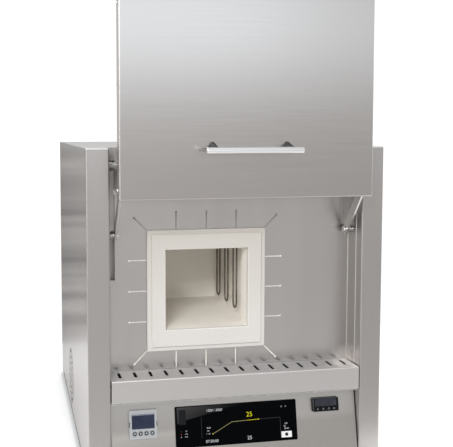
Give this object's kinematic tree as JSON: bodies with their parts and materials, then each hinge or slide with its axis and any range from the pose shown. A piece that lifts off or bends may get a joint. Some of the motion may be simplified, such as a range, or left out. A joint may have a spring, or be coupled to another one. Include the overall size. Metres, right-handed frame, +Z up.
{
  "type": "chamber furnace",
  "caption": "Bench-top chamber furnace with a flat steel door raised on parallel arms, an insulated heating chamber with a white collar, a slotted shelf and a sloping display panel.",
  "frame": {"origin": "centre of the bounding box on the bench, under the feet, with the door raised", "axes": "+X to the right seen from the front, +Y from the front to the rear, +Z up; the control panel, the door and its handle face -Y"},
  "size_m": [0.49, 0.734, 0.826],
  "materials": {
    "case_grey": "satin",
    "zinc": "satin",
    "rubber": "matte",
    "recess_steel": "satin",
    "shelf_steel": "satin",
    "panel_paint": "satin",
    "door_steel": "satin",
    "arm_steel": "satin",
    "bracket_steel": "satin",
    "bright_steel": "polished",
    "handle_steel": "satin",
    "post_steel": "satin",
    "fibre": "matte",
    "collar_fibre": "matte",
    "element": "satin",
    "holder_ceramic": "matte",
    "aluminium": "satin",
    "core_steel": "satin",
    "alumina_tube": "matte",
    "heat_sink": "satin",
    "terminal_plastic": "matte",
    "black_plastic": "satin",
    "light_bezel": "satin",
    "dark_bezel": "satin",
    "rocker_plastic": "gloss",
    "display_glass": "gloss",
    "limit_lcd": "gloss",
    "meter_lcd": "gloss",
    "limit_keys": "satin",
    "meter_keys": "satin"
  },
  "bodies": {
    "cabinet": {"base_plate": "zinc", "case_pivot_bushes": "bright_steel", "case_pivot_pins": "bright_steel", "chamber_stand": "zinc", "collar": "collar_fibre", "control_panel": "panel_paint", "display_glass": "display_glass", "display_housing": "black_plastic", "element_holders": "holder_ceramic", "element_straps": "aluminium", "exhaust_tube": "alumina_tube", "fan_guard": "bright_steel", "fan_housing": "black_plastic", "feet": "rubber", "heating_elements": "element", "insulation_floor": "fibre", "insulation_front": "fibre", "insulation_left": "fibre", "insulation_rear": "fibre", "insulation_right": "fibre", "insulation_roof": "fibre", "left_side_panel": "case_grey", "limit_controller": "light_bezel", "limit_window": "limit_lcd", "mains_gland": "black_plastic", "mains_switch_frame": "black_plastic", "meter_body": "dark_bezel", "meter_window": "meter_lcd", "pivot_brackets": "bracket_steel", "power_controller": "heat_sink", "power_leads": "aluminium", "rear_panel": "zinc", "recess_panel": "recess_steel", "right_side_panel": "case_grey", "terminal_block": "terminal_plastic", "thermocouple": "alumina_tube", "top_panel": "case_grey", "transformer": "core_steel", "vent_shelf": "shelf_steel"},
    "door": {"door_panel": "door_steel", "door_inner_cover": "recess_steel", "door_insulation": "fibre", "door_plug": "collar_fibre", "plug_frame": "bright_steel", "door_pivot_pins": "bright_steel", "handle_bar": "handle_steel", "handle_posts": "post_steel"},
    "lower_arms": {"lower_arms": "arm_steel"},
    "upper_arms": {"upper_arms": "arm_steel"},
    "fan_rotor": {"fan_rotor": "black_plastic"},
    "mains_rocker": {"mains_rocker": "rocker_plastic"},
    "limit_key_1": {"limit_key_1": "limit_keys"},
    "limit_key_2": {"limit_key_2": "limit_keys"},
    "limit_key_3": {"limit_key_3": "limit_keys"},
    "limit_key_4": {"limit_key_4": "limit_keys"},
    "meter_key_1": {"meter_key_1": "meter_keys"},
    "meter_key_2": {"meter_key_2": "meter_keys"},
    "meter_key_3": {"meter_key_3": "meter_keys"},
    "meter_key_4": {"meter_key_4": "meter_keys"}
  },
  "joints": [
    {"name": "door_lift", "type": "hinge", "parent": "cabinet", "child": "lower_arms", "pos_m": [0, -0.244, 0.4], "axis": [1, 0, 0], "range_deg": [0, 141.94]},
    {"name": "door_level", "type": "hinge", "parent": "lower_arms", "child": "door", "pos_m": [0, -0.32, 0.53436], "axis": [1, 0, 0], "range_deg": [-142.04, 0.1]},
    {"name": "upper_arm_follow", "type": "hinge", "parent": "cabinet", "child": "upper_arms", "pos_m": [0, -0.244, 0.512], "axis": [1, 0, 0], "range_deg": [-0.1, 142.04]},
    {"name": "fan_spin", "type": "hinge", "parent": "cabinet", "child": "fan_rotor", "pos_m": [0.15, 0.325, 0.42], "axis": [0, 1, 0], "continuous": true},
    {"name": "mains_rocker_tilt", "type": "hinge", "parent": "cabinet", "child": "mains_rocker", "pos_m": [0.195, 0.344, 0.062], "axis": [1, 0, 0], "range_deg": [-20, 0]},
    {"name": "limit_key_1_press", "type": "slide", "parent": "cabinet", "child": "limit_key_1", "axis": [0, 0.9806, -0.1961], "range_m": [0, 0.0008], "stiffness_N_per_m": 500, "springref_m": -0.0008},
    {"name": "limit_key_2_press", "type": "slide", "parent": "cabinet", "child": "limit_key_2", "axis": [0, 0.9806, -0.1961], "range_m": [0, 0.0008], "stiffness_N_per_m": 500, "springref_m": -0.0008},
    {"name": "limit_key_3_press", "type": "slide", "parent": "cabinet", "child": "limit_key_3", "axis": [0, 0.9806, -0.1961], "range_m": [0, 0.0008], "stiffness_N_per_m": 500, "springref_m": -0.0008},
    {"name": "limit_key_4_press", "type": "slide", "parent": "cabinet", "child": "limit_key_4", "axis": [0, 0.9806, -0.1961], "range_m": [0, 0.0008], "stiffness_N_per_m": 500, "springref_m": -0.0008},
    {"name": "meter_key_1_press", "type": "slide", "parent": "cabinet", "child": "meter_key_1", "axis": [0, 0.9806, -0.1961], "range_m": [0, 0.0008], "stiffness_N_per_m": 500, "springref_m": -0.0008},
    {"name": "meter_key_2_press", "type": "slide", "parent": "cabinet", "child": "meter_key_2", "axis": [0, 0.9806, -0.1961], "range_m": [0, 0.0008], "stiffness_N_per_m": 500, "springref_m": -0.0008},
    {"name": "meter_key_3_press", "type": "slide", "parent": "cabinet", "child": "meter_key_3", "axis": [0, 0.9806, -0.1961], "range_m": [0, 0.0008], "stiffness_N_per_m": 500, "springref_m": -0.0008},
    {"name": "meter_key_4_press", "type": "slide", "parent": "cabinet", "child": "meter_key_4", "axis": [0, 0.9806, -0.1961], "range_m": [0, 0.0008], "stiffness_N_per_m": 500, "springref_m": -0.0008}
  ],
  "couplings": [
    {"joint": "upper_arm_follow", "follows": "door_lift", "ratio": 1},
    {"joint": "door_level", "follows": "door_lift", "ratio": -1}
  ]
}
